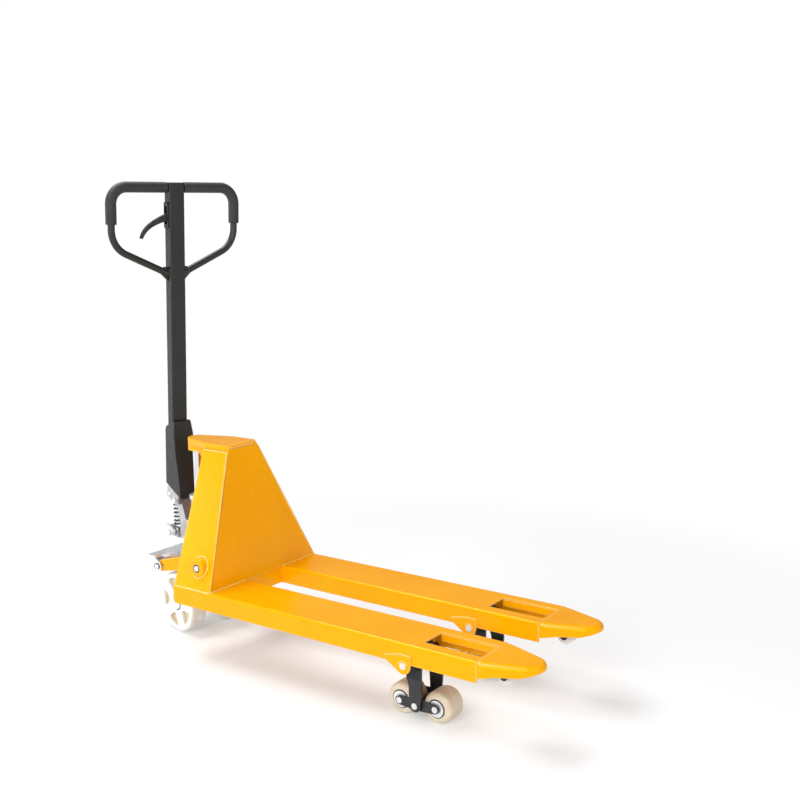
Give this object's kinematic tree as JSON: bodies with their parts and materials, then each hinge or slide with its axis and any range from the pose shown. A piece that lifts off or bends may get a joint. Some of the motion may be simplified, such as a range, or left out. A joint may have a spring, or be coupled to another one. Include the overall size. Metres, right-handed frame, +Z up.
{
  "type": "pallet jack",
  "caption": "Hand pallet truck with raised forks, steerable hydraulic pump, tilting looped tow handle, and twin load rollers that fold under each fork as it lowers",
  "frame": {"origin": "On the floor, at the centre of the overall box; the steering axis is 543 mm behind it", "axes": "+Z up, +X along the forks towards their tips, -Y the near side"},
  "size_m": [1.395, 0.4605, 1.3213],
  "materials": {
    "yellow_paint": "glossy yellow-orange enamel on welded steel sheet",
    "charcoal_paint": "satin charcoal powder coat",
    "black_paint": "semi-gloss black paint",
    "zinc_plate": "bright zinc plating",
    "cast_zinc": "zinc-plated casting, slightly grainy",
    "chrome": "hard chrome",
    "white_nylon": "ivory white cast nylon",
    "rubber": "black rubber",
    "spring_steel": "dark spring steel"
  },
  "bodies": {
    "undercarriage": {"bearing_seat": "zinc_plate", "thrust_bearing": "zinc_plate", "seat_pins": "zinc_plate"},
    "chassis": {"fork_channel_near": "yellow_paint", "fork_channel_far": "yellow_paint", "fork_noses": "yellow_paint", "window_liners": "yellow_paint", "pivot_ears": "yellow_paint", "roller_pivot_pins": "zinc_plate", "entry_roller_mounts": "black_paint", "front_panel": "yellow_paint", "side_panel_near": "yellow_paint", "side_panel_far": "yellow_paint", "top_bracket": "yellow_paint", "heel_plate": "yellow_paint", "rocker_bosses": "yellow_paint", "rocker_shaft": "zinc_plate", "shaft_rings": "black_paint", "piston_rod": "chrome"},
    "pump": {"pump_body": "cast_zinc", "hydraulic_cylinder": "cast_zinc", "gland_nut": "zinc_plate", "plunger_housing": "zinc_plate", "plunger_spring": "spring_steel", "release_valve": "zinc_plate", "handle_pivot_pin": "zinc_plate", "steering_axle": "zinc_plate", "axle_caps": "zinc_plate"},
    "wheel_near": {"steering_wheel_near": "white_nylon"},
    "wheel_far": {"steering_wheel_far": "white_nylon"},
    "handle": {"handle_tube": "charcoal_paint", "handle_loop": "charcoal_paint", "grip_near": "rubber", "grip_far": "rubber", "handle_base": "charcoal_paint", "base_casting": "cast_zinc", "handle_pins": "zinc_plate", "lever_bracket": "black_paint"},
    "pressure_roller": {"pressure_roller": "zinc_plate"},
    "control_lever": {"control_lever": "black_paint"},
    "pull_rod": {"pull_rod": "zinc_plate"},
    "plunger": {"plunger": "zinc_plate"},
    "release_lever": {"release_lever": "zinc_plate"},
    "rocker": {"rocker_tube": "yellow_paint", "rocker_arm_near": "yellow_paint", "rocker_arm_far": "yellow_paint"},
    "push_rod_near": {"push_rod_near": "black_paint"},
    "push_rod_far": {"push_rod_far": "black_paint"},
    "roller_frame_near": {"roller_frame_near": "black_paint"},
    "roller_frame_far": {"roller_frame_far": "black_paint"},
    "tandem_near": {"tandem_link_near": "black_paint", "roller_axles_near": "zinc_plate"},
    "tandem_far": {"tandem_link_far": "black_paint", "roller_axles_far": "zinc_plate"},
    "roller_front_near": {"load_roller_front_near": "white_nylon"},
    "roller_rear_near": {"load_roller_rear_near": "white_nylon"},
    "roller_front_far": {"load_roller_front_far": "white_nylon"},
    "roller_rear_far": {"load_roller_rear_far": "white_nylon"},
    "entry_near": {"entry_roller_near": "white_nylon"},
    "entry_far": {"entry_roller_far": "white_nylon"}
  },
  "joints": [
    {"name": "lift", "type": "slide", "parent": "undercarriage", "child": "chassis", "axis": [0, 0, 1], "range_m": [-0.12, 0]},
    {"name": "steer", "type": "hinge", "parent": "undercarriage", "child": "pump", "pos_m": [-0.543, 0, 0], "axis": [0, 0, 1], "range_deg": [-77, 103]},
    {"name": "wheel_near_spin", "type": "hinge", "parent": "pump", "child": "wheel_near", "pos_m": [-0.55897, -0.06918, 0.09], "axis": [0.225, 0.9744, 0], "continuous": true},
    {"name": "wheel_far_spin", "type": "hinge", "parent": "pump", "child": "wheel_far", "pos_m": [-0.52703, 0.06918, 0.09], "axis": [0.225, 0.9744, 0], "continuous": true},
    {"name": "handle_tilt", "type": "hinge", "parent": "pump", "child": "handle", "pos_m": [-0.63264, 0.0207, 0.373], "axis": [-0.225, -0.9744, 0], "range_deg": [0, 70]},
    {"name": "pressure_roller_spin", "type": "hinge", "parent": "handle", "child": "pressure_roller", "pos_m": [-0.66891, 0.02907, 0.38723], "axis": [0.225, 0.9744, 0], "continuous": true},
    {"name": "control_lever_swing", "type": "hinge", "parent": "handle", "child": "control_lever", "pos_m": [-0.61902, 0.00523, 1.2215], "axis": [0.9727, -0.2246, -0.0593], "range_deg": [-14, 12], "stiffness_Nm_per_rad": 1.5},
    {"name": "pull_rod_slide", "type": "slide", "parent": "handle", "child": "pull_rod", "axis": [0.0578, -0.0133, 0.9982], "range_m": [-0.004, 0.004]},
    {"name": "release_swing", "type": "hinge", "parent": "pump", "child": "release_lever", "pos_m": [-0.66517, -0.00464, 0.27], "axis": [0.225, 0.9744, 0], "range_deg": [-16, 16]},
    {"name": "plunger_stroke", "type": "slide", "parent": "pump", "child": "plunger", "axis": [0, 0, 1], "range_m": [-0.0425, 0], "deforming": ["plunger_spring"]},
    {"name": "rocker_swing", "type": "hinge", "parent": "chassis", "child": "rocker", "pos_m": [-0.351, 0, 0.263], "axis": [0, 1, 0], "range_deg": [0, 27.2]},
    {"name": "push_rod_near_swing", "type": "hinge", "parent": "rocker", "child": "push_rod_near", "pos_m": [-0.3314, -0.15, 0.1807], "axis": [0, 1, 0], "range_deg": [-27.2, 0]},
    {"name": "roller_frame_near_swing", "type": "hinge", "parent": "chassis", "child": "roller_frame_near", "pos_m": [0.355, -0.15, 0.149], "axis": [0, 1, 0], "range_deg": [-89.5, 0]},
    {"name": "tandem_near_swing", "type": "hinge", "parent": "roller_frame_near", "child": "tandem_near", "pos_m": [0.369, -0.15, 0.04], "axis": [0, 1, 0], "range_deg": [0, 89.5]},
    {"name": "roller_front_near_spin", "type": "hinge", "parent": "tandem_near", "child": "roller_front_near", "pos_m": [0.4215, -0.15, 0.04], "axis": [0, 1, 0], "continuous": true},
    {"name": "roller_rear_near_spin", "type": "hinge", "parent": "tandem_near", "child": "roller_rear_near", "pos_m": [0.3165, -0.15, 0.04], "axis": [0, 1, 0], "continuous": true},
    {"name": "entry_near_spin", "type": "hinge", "parent": "chassis", "child": "entry_near", "pos_m": [0.607, -0.15, 0.165], "axis": [0, 1, 0], "continuous": true},
    {"name": "push_rod_far_swing", "type": "hinge", "parent": "rocker", "child": "push_rod_far", "pos_m": [-0.3314, 0.15, 0.1807], "axis": [0, 1, 0], "range_deg": [-27.2, 0]},
    {"name": "roller_frame_far_swing", "type": "hinge", "parent": "chassis", "child": "roller_frame_far", "pos_m": [0.355, 0.15, 0.149], "axis": [0, 1, 0], "range_deg": [-89.5, 0]},
    {"name": "tandem_far_swing", "type": "hinge", "parent": "roller_frame_far", "child": "tandem_far", "pos_m": [0.369, 0.15, 0.04], "axis": [0, 1, 0], "range_deg": [0, 89.5]},
    {"name": "roller_front_far_spin", "type": "hinge", "parent": "tandem_far", "child": "roller_front_far", "pos_m": [0.4215, 0.15, 0.04], "axis": [0, 1, 0], "continuous": true},
    {"name": "roller_rear_far_spin", "type": "hinge", "parent": "tandem_far", "child": "roller_rear_far", "pos_m": [0.3165, 0.15, 0.04], "axis": [0, 1, 0], "continuous": true},
    {"name": "entry_far_spin", "type": "hinge", "parent": "chassis", "child": "entry_far", "pos_m": [0.607, 0.15, 0.165], "axis": [0, 1, 0], "continuous": true}
  ],
  "couplings": [
    {"joint": "pull_rod_slide", "follows": "control_lever_swing", "m_per_rad": 0.012},
    {"joint": "release_swing", "follows": "control_lever_swing", "ratio": 1},
    {"joint": "plunger_stroke", "follows": "handle_tilt", "m_per_rad": -0.034377},
    {"joint": "rocker_swing", "follows": "lift", "rad_per_m": -3.8957},
    {"joint": "push_rod_near_swing", "follows": "lift", "rad_per_m": 3.8957},
    {"joint": "roller_frame_near_swing", "follows": "lift", "rad_per_m": 12.861},
    {"joint": "tandem_near_swing", "follows": "lift", "rad_per_m": -12.861},
    {"joint": "push_rod_far_swing", "follows": "lift", "rad_per_m": 3.8957},
    {"joint": "roller_frame_far_swing", "follows": "lift", "rad_per_m": 12.861},
    {"joint": "tandem_far_swing", "follows": "lift", "rad_per_m": -12.861}
  ]
}
